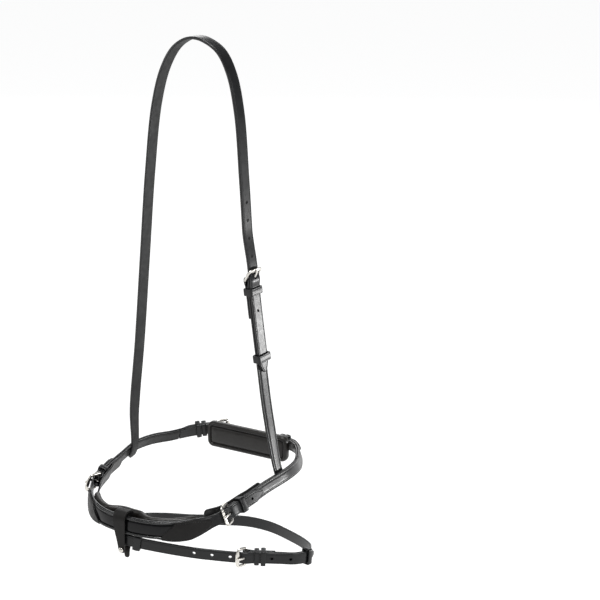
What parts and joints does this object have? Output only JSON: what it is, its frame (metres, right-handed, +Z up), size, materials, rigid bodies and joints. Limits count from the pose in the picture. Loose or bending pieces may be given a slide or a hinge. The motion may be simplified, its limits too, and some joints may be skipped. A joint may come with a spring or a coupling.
{
  "type": "bridle noseband",
  "caption": "Padded leather combined noseband for a horse, with buckled flash strap, jaw pad and adjustable headstrap, held at the poll.",
  "frame": {"origin": "middle of the underside of the headstrap where it lies on the poll", "axes": "+X towards the horse's left (near) side, -Y towards the nose, +Z up along the head straps"},
  "size_m": [0.2748, 0.2829, 0.5364],
  "materials": {
    "bridle_leather": "waxed, semi gloss",
    "patent_leather": "patent, high gloss",
    "matte_leather": "matte grain",
    "lining_leather": "smooth matte",
    "padding_leather": "soft, satin",
    "nickel": "nickel plated"
  },
  "bodies": {
    "noseband": {"cheek_buckle_frame": "nickel", "cheek_fixed_keeper": "bridle_leather", "cheek_strap": "bridle_leather", "crown_strap": "bridle_leather", "flash_hanger": "bridle_leather", "flash_hanger_screw": "nickel", "jaw_pad": "padding_leather", "jaw_pad_loop_near": "bridle_leather", "jaw_pad_loop_off": "bridle_leather", "jaw_strap": "bridle_leather", "near_buckle_safe": "lining_leather", "near_front_buckle_frame": "nickel", "near_front_keeper": "bridle_leather", "near_rear_buckle_frame": "nickel", "near_rear_keeper": "bridle_leather", "near_side_lining": "lining_leather", "near_side_strap": "bridle_leather", "nose_band": "bridle_leather", "nose_edging_bottom": "bridle_leather", "nose_edging_top": "bridle_leather", "nose_end_panel_near": "matte_leather", "nose_end_panel_off": "matte_leather", "nose_pad": "padding_leather", "nose_panel": "patent_leather", "off_buckle_safe": "lining_leather", "off_front_buckle_frame": "nickel", "off_front_keeper": "bridle_leather", "off_rear_buckle_frame": "nickel", "off_rear_keeper": "bridle_leather", "off_side_lining": "lining_leather", "off_side_strap": "bridle_leather"},
    "flash": {"flash_strap": "bridle_leather", "flash_buckle_frame": "nickel", "flash_fixed_keeper": "bridle_leather"},
    "flash_tongue": {"flash_buckle_tongue": "nickel"},
    "flash_keeper": {"flash_sliding_keeper": "bridle_leather"},
    "flash_tip_loop": {"flash_tip_keeper": "bridle_leather"},
    "flash_runner": {"flash_hanger_keeper": "bridle_leather"},
    "cheek_tongue": {"cheek_buckle_tongue": "nickel"},
    "cheek_keeper": {"cheek_sliding_keeper": "bridle_leather"},
    "near_front_tongue": {"near_front_buckle_tongue": "nickel"},
    "near_rear_tongue": {"near_rear_buckle_tongue": "nickel"},
    "near_rear_keeper_body": {"near_rear_sliding_keeper": "bridle_leather"},
    "off_front_tongue": {"off_front_buckle_tongue": "nickel"},
    "off_rear_tongue": {"off_rear_buckle_tongue": "nickel"},
    "off_rear_keeper_body": {"off_rear_sliding_keeper": "bridle_leather"}
  },
  "joints": [
    {"name": "flash_swing", "type": "hinge", "parent": "noseband", "child": "flash", "pos_m": [-0.005, -0.156, -0.5025], "axis": [1, 0, 0], "range_deg": [-12, 1]},
    {"name": "cheek_tongue_lift", "type": "hinge", "parent": "noseband", "child": "cheek_tongue", "pos_m": [0.06542, -0.00794, -0.24748], "axis": [0.1884, 0.9817, 0.0296], "range_deg": [0, 10]},
    {"name": "cheek_keeper_slide", "type": "slide", "parent": "noseband", "child": "cheek_keeper", "axis": [0.0993, 0.0419, -0.9942], "range_m": [-0.01, 0.008]},
    {"name": "near_front_tongue_lift", "type": "hinge", "parent": "noseband", "child": "near_front_tongue", "pos_m": [0.08464, -0.09035, -0.47873], "axis": [-0.3738, -0.03, 0.927], "range_deg": [0, 10]},
    {"name": "near_rear_tongue_lift", "type": "hinge", "parent": "noseband", "child": "near_rear_tongue", "pos_m": [0.02396, 0.10609, -0.48407], "axis": [0.0104, 0.0692, -0.9975], "range_deg": [0, 10]},
    {"name": "near_rear_keeper_slide", "type": "slide", "parent": "noseband", "child": "near_rear_keeper_body", "axis": [-0.9801, 0.1944, -0.0396], "range_m": [-0.002, 0.0005]},
    {"name": "off_front_tongue_lift", "type": "hinge", "parent": "noseband", "child": "off_front_tongue", "pos_m": [-0.0847, -0.09017, -0.48011], "axis": [-0.3454, -0.0465, -0.9373], "range_deg": [0, 10]},
    {"name": "off_rear_tongue_lift", "type": "hinge", "parent": "noseband", "child": "off_rear_tongue", "pos_m": [-0.04987, 0.10217, -0.48387], "axis": [0.0181, -0.0767, 0.9969], "range_deg": [0, 10]},
    {"name": "off_rear_keeper_slide", "type": "slide", "parent": "noseband", "child": "off_rear_keeper_body", "axis": [-0.7182, -0.6915, -0.0776], "range_m": [-0.0005, 0.0035]},
    {"name": "flash_tongue_lift", "type": "hinge", "parent": "flash", "child": "flash_tongue", "pos_m": [0.11414, -0.10668, -0.51565], "axis": [0.0508, 0.0313, 0.9982], "range_deg": [0, 6]},
    {"name": "flash_keeper_slide", "type": "slide", "parent": "flash", "child": "flash_keeper", "axis": [0.8657, 0.4987, -0.0428], "range_m": [-0.001, 0.006]},
    {"name": "flash_tip_keeper_slide", "type": "slide", "parent": "flash", "child": "flash_tip_loop", "axis": [0.1675, 0.98, -0.1072], "range_m": [-0.002, 0.003]},
    {"name": "flash_hanger_keeper_slide", "type": "slide", "parent": "flash", "child": "flash_runner", "axis": [0.9353, 0.3172, -0.1571], "range_m": [-0.0005, 0.007]}
  ]
}
